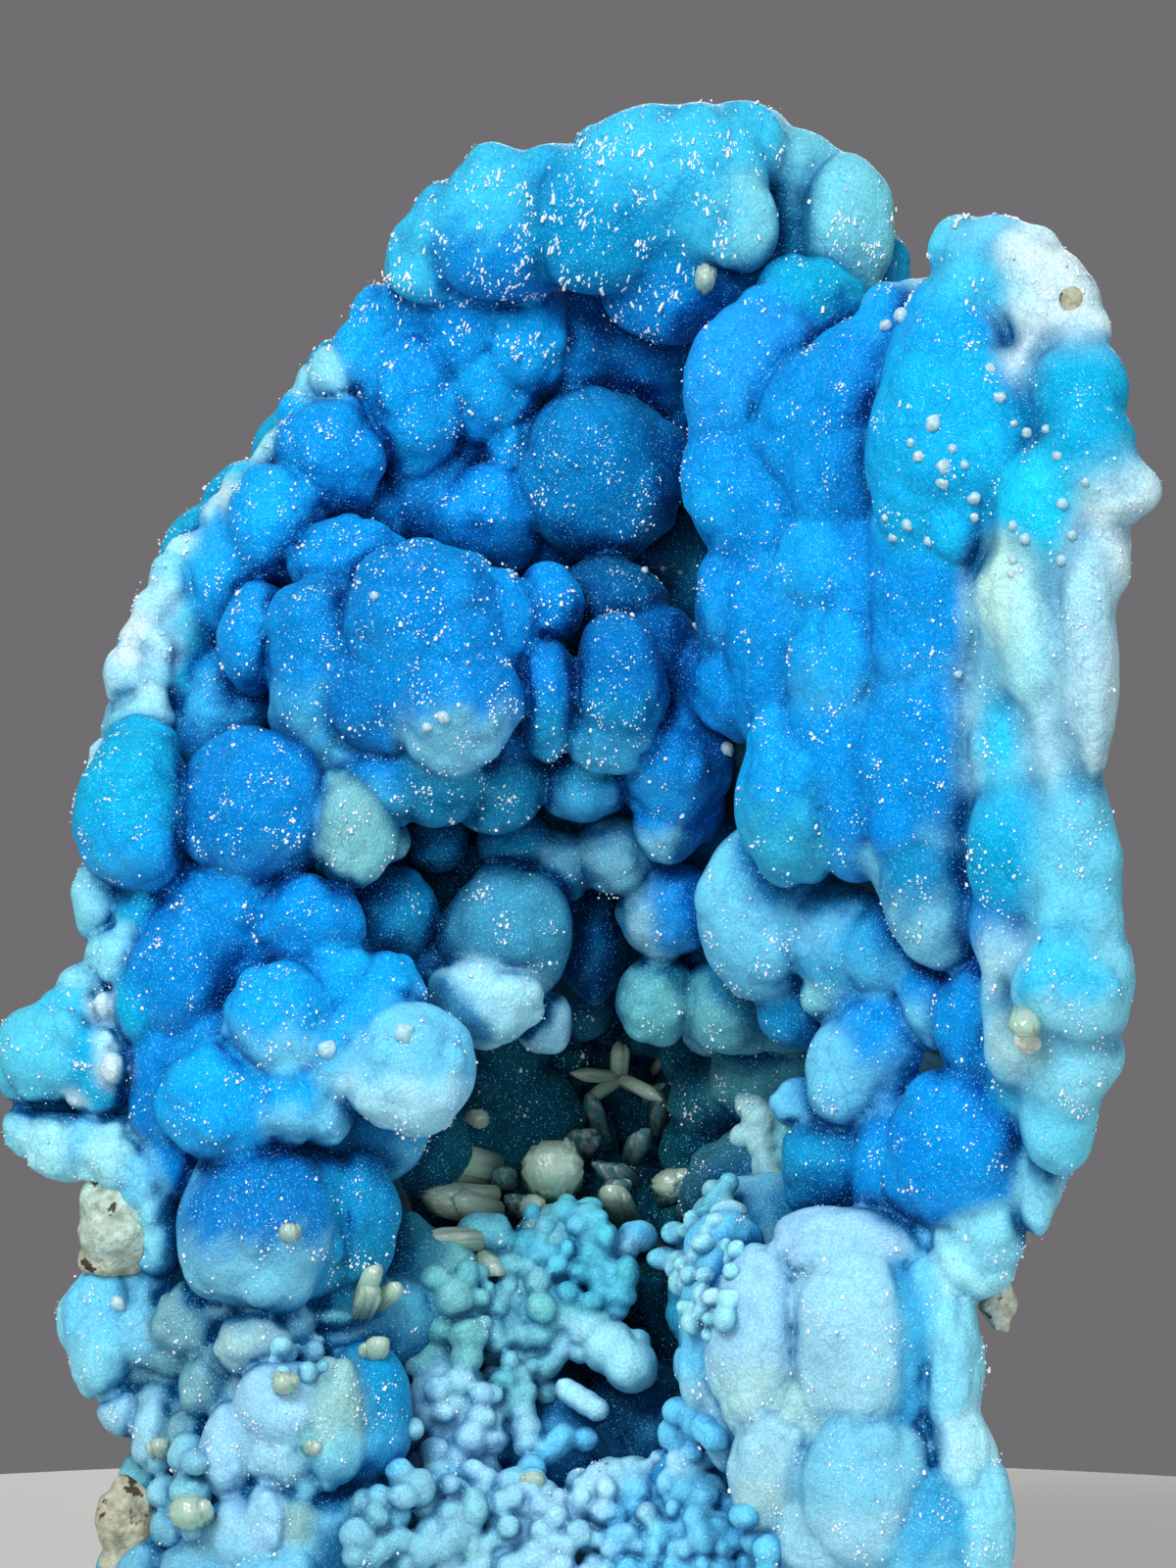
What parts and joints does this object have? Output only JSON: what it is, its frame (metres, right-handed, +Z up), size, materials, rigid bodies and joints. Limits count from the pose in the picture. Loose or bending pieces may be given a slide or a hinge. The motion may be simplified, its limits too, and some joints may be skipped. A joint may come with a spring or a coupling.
{
  "type": "hemimorphite specimen",
  "caption": "Natural botryoidal hemimorphite: a cave-like crust of rounded blue lobes on its matrix, sawn flat underneath, with clear crystals in its hollow.",
  "frame": {"origin": "middle of the outline, on the sawn base", "axes": "+Z up, -Y out of the open, hollow front, +X to the right of someone who looks into the hollow"},
  "size_m": [0.0565, 0.0463, 0.0794],
  "materials": {
    "crust": "waxy to glassy, fuzzy with fine druse",
    "crystal": "clear to milky crystal faces"
  },
  "bodies": {
    "root": {"crust": "crust", "crown_seed_left": "crystal", "crown_seed_right": "crystal", "blade_upper": "crystal", "blade_fan": "crystal", "blocky_crystal": "crystal", "pointed_crystal": "crystal", "striated_crystal": "crystal", "slab_crystal": "crystal", "star_cluster": "crystal", "cavity_prism": "crystal", "ledge_prism": "crystal", "ledge_chunk": "crystal", "rim_facet": "crystal"}
  },
  "joints": []
}
